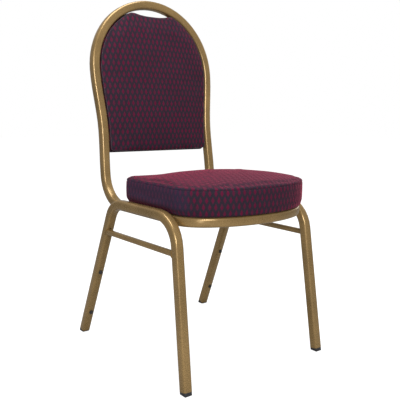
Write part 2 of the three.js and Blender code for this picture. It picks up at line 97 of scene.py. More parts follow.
class ClothSettings(bpy.types.PropertyGroup):
    across: FloatProperty(
        name="Repeat across",
        description="Distance from one diamond to the next in a row",
        unit="LENGTH",
        default=0.0145,
    )
    along: FloatProperty(
        name="Repeat along",
        description="Distance from a row to the next row in step with it",
        unit="LENGTH",
        default=0.0322,
    )
    diamond_width: FloatProperty(
        name="Diamond width",
        description="Widest part of a diamond",
        unit="LENGTH",
        default=0.0080,
    )
    diamond_height: FloatProperty(
        name="Diamond height",
        description="Height of a diamond from tip to tip",
        unit="LENGTH",
        default=0.0172,
    )
    crimson: FloatVectorProperty(
        name="Crimson",
        description="Colour of the threads that float over the diamonds",
        subtype="COLOR",
        size=3,
        min=0,
        max=1,
        default=(0.160, 0.0075, 0.044),
    )
    ground: FloatVectorProperty(
        name="Ground",
        description="Colour of the charcoal navy ground weave",
        subtype="COLOR",
        size=3,
        min=0,
        max=1,
        default=(0.034, 0.028, 0.044),
    )
    # painted sheen: the redder colour the top of the cloth is given, standing in for the grazing light that
    # its floats catch
    painted_top_sheen: FloatVectorProperty(
        name="Painted top sheen",
        description="Colour that the cloth turns to on top, where its floats catch the light",
        subtype="COLOR",
        size=3,
        min=0,
        max=1,
        default=(0.145, 0.024, 0.046),
    )
    # painted shade: the dull bluish colour the seat's sides are given, standing in for the little light that
    # their floats catch
    painted_side_shade: FloatVectorProperty(
        name="Painted side shade",
        description="Colour that the cloth turns to on the sides, where its floats catch little light",
        subtype="COLOR",
        size=3,
        min=0,
        max=1,
        default=(0.040, 0.030, 0.066),
    )


class CushionSettings(bpy.types.PropertyGroup):
    voxel: FloatProperty(
        name="Voxel",
        description="Size of the cells that the pads are remeshed to",
        unit="LENGTH",
        default=0.005,
    )
    pressure: FloatProperty(
        name="Pressure",
        description="Pressure that fills the cloth in the simulation",
        default=4.0,
    )
    frames: IntProperty(
        name="Frames",
        description="Length of the simulation in frames",
        default=20,
    )
    seat_swell: FloatProperty(
        name="Seat swell",
        description="Most that a point of the seat cushion may move",
        unit="LENGTH",
        default=0.0035,
    )
    back_swell: FloatProperty(
        name="Back swell",
        description="Most that a point of the back pad may move",
        unit="LENGTH",
        default=0.005,
    )
    crease: FloatProperty(
        name="Crease height",
        description="Height of the seam between the seat's top and its side band",
        unit="LENGTH",
        default=0.4705,
    )
    welt: FloatProperty(
        name="Welt",
        description="Radius of the welt cord round the back pad",
        unit="LENGTH",
        default=0.0011,
    )


class StageSettings(bpy.types.PropertyGroup):
    eye: FloatVectorProperty(
        name="Eye",
        description="Place of the camera",
        subtype="TRANSLATION",
        size=3,
        default=(-0.9950, -1.29066, 0.65124),
    )
    heading: FloatProperty(
        name="Heading",
        description="Turn of the camera from the chair's front towards its left",
        subtype="ANGLE",
        default=0.6611,
    )
    tilt: FloatProperty(
        name="Tilt",
        description="How far the camera looks up",
        subtype="ANGLE",
        default=-0.1538,
    )
    roll: FloatProperty(
        name="Roll",
        description="Turn of the camera about its own line of sight",
        subtype="ANGLE",
        default=0.0106,
    )
    lens: FloatProperty(
        name="Lens",
        description="Focal length in millimetres",
        default=53.614,
    )


# ---------------------------------------------------------------- helpers


def only(*objs):
    bpy.ops.object.select_all(action="DESELECT")
    for obj in objs:
        obj.select_set(True)
    bpy.context.view_layer.objects.active = objs[0]


def editing(obj, *steps):
    """Runs mesh operators on all of obj in edit mode, each step a call with no arguments."""
    only(obj)
    bpy.ops.object.mode_set(mode="EDIT")
    bpy.ops.mesh.select_all(action="SELECT")
    for step in steps:
        step()
    bpy.ops.object.mode_set(mode="OBJECT")


def applied(obj, kind, **settings):
    only(obj)
    modifier = obj.modifiers.new(kind.title(), kind)
    for key, value in settings.items():
        setattr(modifier, key, value)
    bpy.ops.object.modifier_apply(modifier=modifier.name)


def settled(obj):
    only(obj)
    bpy.ops.object.transform_apply(location=True, rotation=True, scale=True)


def joined(name, parts):
    only(*parts)
    if len(parts) > 1:
        bpy.ops.object.join()
    parts[0].name = name
    parts[0].data.name = name
    return parts[0]


def copied(name, *nodes):
    """A merged copy of CAD nodes, as one new mesh."""
    parts = []
    for node in nodes:
        part = bpy.data.objects.new(name, frame["nodes"][node].data.copy())
        part.data.materials.clear()
        bpy.context.scene.collection.objects.link(part)
        parts.append(part)
    piece = joined(name, parts)
    editing(
        piece,
        lambda: bpy.ops.mesh.remove_doubles(threshold=0.00002),
        lambda: bpy.ops.mesh.tris_convert_to_quads(
            face_threshold=math.radians(12), shape_threshold=math.radians(60)
        ),
    )
    if piece.data.has_custom_normals:
        bpy.ops.mesh.customdata_custom_splitnormals_clear()
    return piece


def finished(piece, material, slot, *stands_for):
    piece.data.materials.clear()
    piece.data.materials.append(material)
    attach(piece, "root")
    if stands_for:
        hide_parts(*stands_for)
    return piece


def smoothed(piece, angle):
    only(piece)
    bpy.ops.object.shade_smooth_by_angle(angle=angle)


def points(obj):
    co = np.empty(len(obj.data.vertices) * 3)
    obj.data.vertices.foreach_get("co", co)
    return co.reshape(-1, 3)


def put_points(obj, co):
    obj.data.vertices.foreach_set("co", co.ravel())
    obj.data.update()


def paint(name):
    return bpy.data.materials[f"{name}_finish"]


# ---------------------------------------------------------------- materials


class Recipe:
    """A material's node tree, with short calls to add nodes to it."""

    def __init__(self, name):
        self.material = bpy.data.materials.new(f"{name}_finish")
        self.material.use_nodes = True
        self.nodes = self.material.node_tree.nodes
        self.links = self.material.node_tree.links
        self.shader = self.nodes["Principled BSDF"]
        self.coords = self.nodes.new("ShaderNodeTexCoord").outputs["Object"]

    def feed(self, socket, value):
        if isinstance(value, bpy.types.NodeSocket):
            self.links.new(value, socket)
        else:
            socket.default_value = value

    def math(self, operation, a, b=0.0, c=0.0):
        node = self.nodes.new("ShaderNodeMath")
        node.operation = operation
        for socket, value in zip(node.inputs, (a, b, c)):
            self.feed(socket, value)
        return node.outputs[0]

    def noise(self, scale, detail, roughness, stretch=(1, 1, 1)):
        spread = self.nodes.new("ShaderNodeMapping")
        spread.inputs["Scale"].default_value = stretch
        self.feed(spread.inputs["Vector"], self.coords)
        node = self.nodes.new("ShaderNodeTexNoise")
        node.inputs["Scale"].default_value = scale
        node.inputs["Detail"].default_value = detail
        node.inputs["Roughness"].default_value = roughness
        self.feed(node.inputs["Vector"], spread.outputs[0])
        return node.outputs[0]

    def range(self, value, low, high, start=0.0, end=1.0):
        node = self.nodes.new("ShaderNodeMapRange")
        for key, number in (
            ("From Min", low),
            ("From Max", high),
            ("To Min", start),
            ("To Max", end),
        ):
            node.inputs[key].default_value = number
        self.feed(node.inputs["Value"], value)
        return node.outputs[0]

    def mix(self, amount, a, b):
        node = self.nodes.new("ShaderNodeMix")
        node.data_type = "RGBA"
        self.feed(node.inputs["Factor"], amount)
        for key, value in (("A", a), ("B", b)):
            socket = [s for s in node.inputs if s.name == key and s.type == "RGBA"][0]
            if not isinstance(value, bpy.types.NodeSocket):
                value = (*value[:3], 1)
            self.feed(socket, value)
        return [s for s in node.outputs if s.type == "RGBA"][0]

    def colour(self, value):
        self.feed(self.shader.inputs["Base Color"], value)

    def rough(self, value):
        self.feed(self.shader.inputs["Roughness"], value)

    def bump(self, height, distance, strength):
        node = self.nodes.new("ShaderNodeBump")
        node.inputs["Distance"].default_value = distance
        node.inputs["Strength"].default_value = strength
        self.feed(node.inputs["Height"], height)
        self.feed(self.shader.inputs["Normal"], node.outputs[0])

    def set(self, **values):
        for key, value in values.items():
            self.shader.inputs[key.replace("_", " ")].default_value = value

    def turned(self, axis, low, high, most):
        """From 0 to most as a face turns from low to high along X (either way) or up along Z."""
        facing = self.nodes.new("ShaderNodeNewGeometry").outputs["Normal"]
        split = self.nodes.new("ShaderNodeSeparateXYZ")
        self.feed(split.inputs[0], facing)
        lean = split.outputs[axis]
        if axis == "X":
            lean = self.math("ABSOLUTE", lean)
        return self.range(lean, low, high, 0, most)

    def height(self):
        node = self.nodes.new("ShaderNodeSeparateXYZ")
        self.feed(node.inputs[0], self.coords)
        return node.outputs["Z"]


def powder_coat(settings):
    recipe = Recipe("frame_steel")
    coat = settings.coat
    flake = recipe.noise(900, 1, 0.6)
    cloudy = recipe.noise(14, 3, 0.55)
    near_floor = recipe.range(recipe.height(), 0.02, 0.16, 1, 0)
    scuffs = recipe.range(recipe.noise(55, 4, 0.7, (1, 1, 0.35)), 0.60, 0.68)
    bare_metal = (0.11, 0.085, 0.055)
    pale = [min(1, c * 1.30) for c in coat]
    deep = [c * 0.74 for c in coat]
    base = recipe.mix(recipe.range(cloudy, 0.3, 0.7, 0, 1), deep, coat)
    base = recipe.mix(recipe.range(flake, 0.52, 0.72, 0, 0.3), base, pale)
    worn = recipe.math("MULTIPLY", near_floor, scuffs)
    base = recipe.mix(recipe.math("MULTIPLY", worn, 0.5), base, bare_metal)
    recipe.colour(base)
    rough = recipe.range(flake, 0.35, 0.65, 0.24, 0.30)
    recipe.rough(recipe.math("ADD", rough, recipe.math("MULTIPLY", worn, 0.25)))
    peel = recipe.noise(420, 2, 0.5)
    recipe.bump(peel, 0.0001, 0.22)
    recipe.set(Metallic=0.5, Coat_Weight=0.3, Coat_Roughness=0.16)
    recipe.set(Specular_Tint=(1.0, 0.93, 0.80, 1))
    return recipe.material


def bead_metal(settings):
    recipe = Recipe("weld_bead")
    ripple = recipe.noise(700, 3, 0.7)
    dark = [c * 0.55 for c in settings.coat]
    recipe.colour(recipe.mix(recipe.range(ripple, 0.35, 0.65), dark, settings.coat))
    recipe.rough(recipe.range(ripple, 0.3, 0.7, 0.36, 0.55))
    recipe.bump(ripple, 0.0006, 0.8)
    recipe.set(Metallic=0.72)
    return recipe.material


def diamond_group(settings):
    """A node group: from cloth coordinates, how far inside a diamond a point lies, in metres.

    A diamond is a teardrop: its widest part, the belly, is below its middle.
    """
    group = bpy.data.node_groups.new("Diamond rows", "ShaderNodeTree")
    socket = group.interface.new_socket
    socket("Across", in_out="INPUT", socket_type="NodeSocketFloat")
    socket("Along", in_out="INPUT", socket_type="NodeSocketFloat")
    socket("Shift", in_out="INPUT", socket_type="NodeSocketFloat")
    socket("Inside", in_out="OUTPUT", socket_type="NodeSocketFloat")
    ends = [group.nodes.new("NodeGroupInput"), group.nodes.new("NodeGroupOutput")]

    def math_node(operation, a, b=0.0):
        node = group.nodes.new("ShaderNodeMath")
        node.operation = operation
        for inlet, value in zip(node.inputs, (a, b)):
            if isinstance(value, bpy.types.NodeSocket):
                group.links.new(value, inlet)
            else:
                inlet.default_value = value
        return node.outputs[0]

    def local(value, repeat):
        turns = math_node("ADD", math_node("DIVIDE", value, repeat), ends[0].outputs["Shift"])
        return math_node("MULTIPLY", math_node("SUBTRACT", math_node("FRACT", turns), 0.5), repeat)

    x = math_node("ABSOLUTE", local(ends[0].outputs["Across"], settings.across))
    y = local(ends[0].outputs["Along"], settings.along)
    belly = settings.diamond_height * -0.08
    upper = math_node("DIVIDE", math_node("SUBTRACT", y, belly), settings.diamond_height * 0.58)
    lower = math_node("DIVIDE", math_node("SUBTRACT", belly, y), settings.diamond_height * 0.42)
    reach = math_node("POWER", math_node("MAXIMUM", upper, lower), 1.15)
    half = math_node("MULTIPLY", math_node("SUBTRACT", 1.0, reach), settings.diamond_width / 2)
    group.links.new(math_node("SUBTRACT", half, x), ends[1].inputs["Inside"])
    return group


def jacquard(settings):
    recipe = Recipe("cloth")
    laid = recipe.nodes.new("ShaderNodeUVMap")
    laid.uv_map = "cloth"
    split = recipe.nodes.new("ShaderNodeSeparateXYZ")
    recipe.feed(split.inputs[0], laid.outputs[0])
    across, along = split.outputs["X"], split.outputs["Y"]
    group = diamond_group(settings)
    rows = []
    for shift in (0.0, 0.5):
        node = recipe.nodes.new("ShaderNodeGroup")
        node.node_tree = group
        recipe.feed(node.inputs["Across"], across)
        recipe.feed(node.inputs["Along"], along)
        node.inputs["Shift"].default_value = shift
        rows.append(node.outputs[0])
    inside = recipe.math("MAXIMUM", rows[0], rows[1])
    diamond = recipe.range(inside, -0.0007, 0.0009)
    rim = recipe.range(recipe.math("ABSOLUTE", recipe.math("ADD", inside, 0.0013)), 0.0007, 0.0003)

    def thread(coordinate, pitch):
        turned = recipe.math("MULTIPLY", coordinate, 2 * math.pi / pitch)
        return recipe.math("MULTIPLY_ADD", recipe.math("SINE", turned), 0.5, 0.5)

    warp = thread(across, pitch=0.00105)
    weft = thread(along, pitch=0.00082)
    weave = recipe.math("MULTIPLY", warp, weft)
    slub = recipe.noise(260, 3, 0.65, (1, 1, 0.3))
    shade = recipe.noise(9, 2, 0.5)
    ground = settings.ground
    slate = (0.020, 0.026, 0.032)
    plum = (0.045, 0.010, 0.022)
    soot = (0.012, 0.008, 0.014)
    plain = recipe.mix(weave, [c * 0.55 for c in ground], [c * 1.5 for c in ground])
    plain = recipe.mix(recipe.math("MULTIPLY", rim, 0.55), plain, slate)
    plain = recipe.mix(recipe.range(slub, 0.40, 0.72, 0, 0.5), plain, plum)
    wine = [c * 0.55 for c in settings.crimson]
    floats = recipe.mix(weft, wine, settings.crimson)
    floats = recipe.mix(recipe.range(slub, 0.35, 0.7, 0, 0.35), floats, wine)
    patchy = recipe.range(recipe.noise(75, 1, 0.4), 0.42, 0.62, 0, 0.55)
    floats = recipe.mix(patchy, floats, [(w + g) / 2 for w, g in zip(wine, ground)])
    colour = recipe.mix(diamond, plain, floats)
    colour = recipe.mix(recipe.range(shade, 0.3, 0.7, 0, 0.18), colour, soot)
    # painted sheen: faces that point up are mixed towards the top sheen colour, standing in for light caught
    # by the floats on top
    colour = recipe.mix(recipe.turned("Z", 0.75, 0.97, 0.3), colour, settings.painted_top_sheen)
    # painted shade: on the seat only, faces that point sideways are mixed towards the side shade colour
    on_seat = recipe.range(recipe.height(), 0.50, 0.51, 1, 0)
    painted_shade_mask = recipe.math("MULTIPLY", recipe.turned("X", 0.70, 0.97, 0.6), on_seat)
    recipe.colour(recipe.mix(painted_shade_mask, colour, settings.painted_side_shade))
    recipe.rough(recipe.range(diamond, 0, 1, 0.82, 0.50))
    raised = recipe.math("MULTIPLY_ADD", diamond, 0.55, recipe.math("MULTIPLY", weave, 0.45))
    recipe.bump(recipe.math("MULTIPLY_ADD", slub, 0.35, raised), 0.00035, 0.7)
    recipe.set(Sheen_Weight=0.36, Sheen_Roughness=0.30, Specular_IOR_Level=0.08)
    recipe.set(Sheen_Tint=(0.95, 0.12, 0.22, 1))
    return recipe.material


def welt_cloth(name, colour):
    recipe = Recipe(name)
    grain = recipe.noise(900, 2, 0.6)
    recipe.colour(recipe.mix(grain, [c * 0.6 for c in colour], [c * 1.5 for c in colour]))
    recipe.rough(recipe.range(grain, 0.3, 0.7, 0.62, 0.85))
    recipe.bump(grain, 0.0003, 0.7)
    recipe.set(Sheen_Weight=0.15, Sheen_Roughness=0.5)
    return recipe.material


def moulded(name, colour, rough, grain_scale, metallic=0.0):
    recipe = Recipe(name)
    grain = recipe.noise(grain_scale, 3, 0.6)
    dust = recipe.range(recipe.noise(60, 4, 0.7), 0.55, 0.75, 0, 0.35)
    recipe.colour(recipe.mix(dust, colour, [min(1, c * 1.9 + 0.01) for c in colour]))
    recipe.rough(recipe.range(grain, 0.3, 0.7, rough - 0.08, rough + 0.08))
    recipe.bump(grain, 0.00015, 0.5)
    recipe.set(Metallic=metallic)
    return recipe.material


def plywood():
    recipe = Recipe("plywood")
    grain = recipe.noise(35, 5, 0.65, (0.12, 3.0, 3.0))
    recipe.colour(recipe.mix(grain, (0.30, 0.19, 0.10), (0.62, 0.45, 0.27)))
    recipe.rough(recipe.range(grain, 0.3, 0.7, 0.6, 0.8))
    recipe.bump(grain, 0.0003, 0.6)
    return recipe.material


def lining_cloth():
    recipe = Recipe("lining")
    felt = recipe.noise(1400, 4, 0.75)
    recipe.colour(recipe.mix(felt, (0.008, 0.008, 0.010), (0.045, 0.045, 0.050)))
    recipe.rough(recipe.range(felt, 0.3, 0.7, 0.85, 0.97))
    recipe.bump(felt, 0.0004, 0.8)
    recipe.set(Sheen_Weight=0.2)
    return recipe.material


def foam_cells():
    recipe = Recipe("foam")
    cells = recipe.noise(800, 3, 0.7)
    recipe.colour(recipe.mix(cells, (0.55, 0.45, 0.26), (0.85, 0.78, 0.55)))
    recipe.rough(recipe.range(cells, 0.3, 0.7, 0.85, 0.95))
    recipe.bump(cells, 0.0008, 0.8)
    return recipe.material


# ---------------------------------------------------------------- cloth


def unrolled(path, co):
    """For each point of co, how far along the closed plan path its nearest point lies."""
    ahead = np.roll(path, -1, 0) - path
    lengths = np.hypot(*ahead.T)
    start = np.concatenate([[0], np.cumsum(lengths)[:-1]])
    along = ahead / lengths[:, None]
    result = np.empty(len(co))
    for first in range(0, len(co), 4000):
        batch = co[first : first + 4000]
        offset = batch[:, None, :] - path[None, :, :]
        nearest = (offset**2).sum(2).argmin(1)
        picked = offset[np.arange(len(batch)), nearest]
        result[first : first + 4000] = start[nearest] + (picked * along[nearest]).sum(1)
    return result


def lay_cloth(piece, coordinates):
    """Writes the cloth map: coordinates gives (across, along) for each corner of each face.

    The map starts at CLOTH_START, so that it stays positive all over.
    """
    layer = piece.data.uv_layers.get("cloth") or piece.data.uv_layers.new(name="cloth")
    placed = np.asarray(coordinates + CLOTH_START, dtype=np.float32)
    layer.data.foreach_set("uv", placed.ravel())
    layer.active = True


def corner_facts(piece):
    mesh = piece.data
    vertex = np.empty(len(mesh.loops), dtype=np.int64)
    mesh.loops.foreach_get("vertex_index", vertex)
    sizes = np.empty(len(mesh.polygons), dtype=np.int64)
    mesh.polygons.foreach_get("loop_total", sizes)
    centre = np.empty(len(mesh.polygons) * 3)
    mesh.polygons.foreach_get("center", centre)
    return vertex, np.repeat(centre.reshape(-1, 3), sizes, axis=0)


def seat_path(grow=0.0):
    """The cushion's plan outline, from the middle of its rear edge round by its right."""
    low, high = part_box("seat_cover")
    half = high.x + grow
    rear = high.y + grow
    bow = low.y + SEAT_BOW
    depth = bow - low.y + grow
    right = [(x, rear) for x in np.linspace(0, -half, 60, endpoint=False)]
    right += [(-half, y) for y in np.linspace(rear, bow, 70, endpoint=False)]
    turns = np.linspace(0, math.pi, 160, endpoint=False)
    front = [(-half * math.cos(turn), bow - depth * math.sin(turn)) for turn in turns]
    left = [(half, y) for y in np.linspace(bow, rear, 70, endpoint=False)]
    left += [(x, rear) for x in np.linspace(half, 0, 60, endpoint=False)]
    return np.array(right + front + left)


def puffed(piece, held, cap, settings):
    """Fills a closed pad with air by cloth simulation; held points stay, the rest swell up to cap."""
    rest = points(piece)
    facing = np.array([v.normal for v in piece.data.vertices])
    group = piece.vertex_groups.new(name="held")
    group.add([int(i) for i in np.flatnonzero(held)], 1.0, "REPLACE")
    only(piece)
    cloth = piece.modifiers.new("Cloth", "CLOTH")
    cloth.settings.use_pressure = True
    cloth.settings.uniform_pressure_force = settings.pressure
    cloth.settings.vertex_group_mass = "held"
    cloth.settings.effector_weights.gravity = 0
    cloth.settings.quality = 5
    cloth.point_cache.frame_start = 1
    cloth.point_cache.frame_end = settings.frames
    for number in range(1, settings.frames + 1):
        bpy.context.scene.frame_set(number)
    bpy.ops.object.modifier_apply(modifier=cloth.name)
    bpy.context.scene.frame_set(1)
    moved = ((points(piece) - rest) * facing).sum(1)
    put_points(piece, rest + facing * np.clip(moved, -cap * 0.2, cap)[:, None])
    piece.vertex_groups.clear()


def evened(piece, times):
    editing(piece, lambda: bpy.ops.mesh.vertices_smooth(factor=0.5, repeat=times))


def outward_side(piece):
    editing(piece, lambda: bpy.ops.mesh.normals_make_consistent(inside=False))


# ---------------------------------------------------------------- operators


class CHAIR_OT_tubes(bpy.types.Operator):
    """Gives the frame's bent tubes and rails smooth bends and a powder coat"""

    bl_idname = "chair.tubes"
    bl_label = "Frame tubes"

    def execute(self, context):
        settings = context.scene.chair_frame
        for node in (
            "back_hoop",
            "seat_loop",
            "leg_frame_left",
            "leg_frame_right",
            "side_stretcher_left",
            "side_stretcher_right",
        ):
            piece = copied(f"{node}_coated", node)
            smoothed(piece, settings.corner_angle)
            applied(piece, "WEIGHTED_NORMAL", keep_sharp=True, weight=100)
            finished(piece, paint("frame_steel"), "frame_steel", node)
        return {"FINISHED"}


class CHAIR_OT_welds(bpy.types.Operator):
    """Runs weld beads round the ends of the rails, the seat loop, the braces and the back's tabs"""

    bl_idname = "chair.welds"
    bl_label = "Weld beads"

    ROUNDING = 0.42
    RIPPLE_HEIGHT = 0.0004
    RIPPLES_PER_METRE = 420
    RAIL_BEAD = 0.0034
    RAIL_FRONT_INSET = 0.0022
    RAIL_REAR_INSET = 0.0040
    HOOP_BEAD = 0.0040
    BRACE_BEAD = (0.0040, 0.0045)
    BRACE_RISE = 0.0015
    TAB_BEAD = (0.0030, 0.0042, 0.020)

    def bead(self, name, centre, size, tilt):
        bpy.ops.object.select_all(action="DESELECT")
        bpy.ops.mesh.primitive_cube_add(size=1, location=centre, rotation=(tilt, 0, 0))
        piece = bpy.context.object
        piece.name = name
        piece.scale = size
        settled(piece)
        editing(piece, lambda: bpy.ops.mesh.subdivide(number_cuts=5))
        applied(piece, "BEVEL", width=min(size) * self.ROUNDING, segments=3, limit_method="ANGLE")
        seed = Vector(centre) * 40
        for vertex in piece.data.vertices:
            ripple = noise.noise(vertex.co * self.RIPPLES_PER_METRE + seed)
            vertex.co += (vertex.co - Vector(centre)).normalized() * ripple * self.RIPPLE_HEIGHT
        return piece

    def places(self, side, sign, proud):
        """Name, centre, size and tilt of each bead on one side of the chair."""
        low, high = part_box(f"side_stretcher_{side}")
        middle = (low + high) / 2
        across = high.x - low.x + 2 * proud
        tall = high.z - low.z + 2 * proud
        for end, y, lean in (
            ("front", low.y + self.RAIL_FRONT_INSET, FRONT_LEG_LEAN),
            ("rear", high.y - self.RAIL_REAR_INSET, REAR_LEG_LEAN),
        ):
            yield f"bead_{end}_{side}", (middle.x, y, middle.z), (across, self.RAIL_BEAD, tall), lean
        low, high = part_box("seat_loop")
        centre = (sign * (high.x - TUBE / 2), high.y, (low.z + high.z) / 2)
        tube = TUBE + 2 * proud
        yield f"bead_hoop_{side}", centre, (tube, self.HOOP_BEAD, tube), 0.0
        for end, tab in (("front", "lower"), ("rear", "upper")):
            low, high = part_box(f"seat_brace_{end}")
            centre = (sign * high.x, (low.y + high.y) / 2, low.z + self.BRACE_RISE)
            thick, tall = self.BRACE_BEAD
            yield f"bead_brace_{end}_{side}", centre, (thick, high.y - low.y, tall), 0.0
            low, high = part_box(f"back_tab_{tab}_{side}")
            edge = high.x if sign > 0 else low.x
            centre = (edge, (low.y + high.y) / 2, (low.z + high.z) / 2)
            yield f"bead_tab_{end}_{side}", centre, self.TAB_BEAD, -RECLINE

    def execute(self, context):
        proud = context.scene.chair_frame.bead
        beads = []
        for side, sign in (("left", 1), ("right", -1)):
            for place in self.places(side, sign, proud):
                beads.append(self.bead(*place))
        piece = joined("weld_beads", beads)
        smoothed(piece, math.radians(60))
        finished(piece, paint("weld_bead"), "frame_steel")
        return {"FINISHED"}


class CHAIR_OT_seat(bpy.types.Operator):
    """Makes the seat cushion: foam and cloth filled by simulation, with a seamed side band"""

    bl_idname = "chair.seat"
    bl_label = "Seat cushion"

    MEETING_ZONE = 0.0008
    HELD_HEIGHT = 0.011
    BULGE = 0.0016
    FRONT_REACH = 0.06
    SEAM_WIDTH = 0.0011
    SEAM_DEPTH = 0.0013
    SEAM_LOOPS = 0.0016
    PUCKER_PITCH = 0.021
    PUCKER_REACH = 0.009
    PUCKER_DEPTH = 0.0007

    def shell(self, settings):
        """Foam and board as one pad: the faces that meet are brought to one level, to leave no gap."""
        piece = copied("seat_cushion", "seat_foam", "seat_board")
        co = points(piece)
        board_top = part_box("seat_board")[1].z
        meeting = np.abs(co[:, 2] - board_top) < self.MEETING_ZONE
        co[meeting, 2] = board_top + self.MEETING_ZONE / 2
        put_points(piece, co)
        applied(piece, "REMESH", mode="VOXEL", voxel_size=settings.voxel)
        return piece

    def execute(self, context):
        settings = context.scene.chair_cushions
        piece = self.shell(settings)
        low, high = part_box("seat_cover")
        co = points(piece)
        puffed(piece, co[:, 2] < low.z + self.HELD_HEIGHT, settings.seat_swell, settings)
        evened(piece, 1)
        self.fit(piece, low, high)
        applied(piece, "SUBSURF", levels=1, render_levels=1)
        self.seam(piece, settings)
        outward_side(piece)
        self.map(piece, settings)
        smoothed(piece, math.radians(70))
        finished(piece, paint("cloth"), "cloth", "seat_cover", "seat_foam", "seat_board")
        return {"FINISHED"}

    def fit(self, piece, low, high):
        """Gives the sides and the front a little bulge at mid height."""
        co = points(piece)
        crown = np.clip((co[:, 2] - low.z) / (high.z - low.z), 0, 1)
        bulge = self.BULGE * np.sin(np.pi * np.clip((crown - 0.12) / 0.62, 0, 1))
        reach = np.abs(co[:, 0]) / high.x
        co[:, 0] += np.sign(co[:, 0]) * bulge * np.clip((reach - 0.8) * 5, 0, 1)
        front = np.clip((low.y + self.FRONT_REACH - co[:, 1]) / self.FRONT_REACH, 0, 1)
        co[:, 1] -= bulge * front
        put_points(piece, co)

    def seam(self, piece, settings):
        """Cuts three edge loops at the crease and sinks them, with small puckers along them."""
        low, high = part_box("seat_cover")
        for step in (1, 0, -1):
            level = (0, 0, settings.crease + step * self.SEAM_LOOPS)
            editing(piece, lambda: bpy.ops.mesh.bisect(plane_co=level, plane_no=(0, 0, 1), use_fill=False))
        co = points(piece)
        around = unrolled(seat_path(), co[:, :2])
        inward = np.column_stack([-co[:, 0], (low.y + high.y) / 2 - co[:, 1]])
        inward /= np.maximum(np.hypot(*inward.T), 1e-6)[:, None]
        above = co[:, 2] - settings.crease
        sunk = np.exp(-((above / self.SEAM_WIDTH) ** 2)) * self.SEAM_DEPTH
        turns = around * 2 * np.pi / self.PUCKER_PITCH + 2.0 * np.sin(around * 37)
        puckers = (0.5 + 0.5 * np.sin(turns)) * self.PUCKER_DEPTH
        sunk += np.exp(-((above / self.PUCKER_REACH) ** 2)) * puckers
        co[:, :2] += inward * sunk[:, None]
        put_points(piece, co)

    def map(self, piece, settings):
        """Lays the cloth flat over the top, and as a band round the side."""
        vertex, centre = corner_facts(piece)
        co = points(piece)
        path = seat_path()
        around = unrolled(path, co[:, :2])
        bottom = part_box("seat_cover")[0].z + 0.002
        side = (centre[:, 2] < settings.crease) & (centre[:, 2] > bottom)
        across = np.where(side, around[vertex], co[vertex, 0])
        along = np.where(side, co[vertex, 2], co[vertex, 1])
        length = np.hypot(*np.diff(path, axis=0, append=path[:1]).T).sum()
        face_around = unrolled(path, centre[:, :2])
        wrapped = np.abs(across - face_around) > length / 2
        across = np.where(side & wrapped, across + np.sign(face_around - across) * length, across)
        lay_cloth(piece, np.column_stack([across, along]))


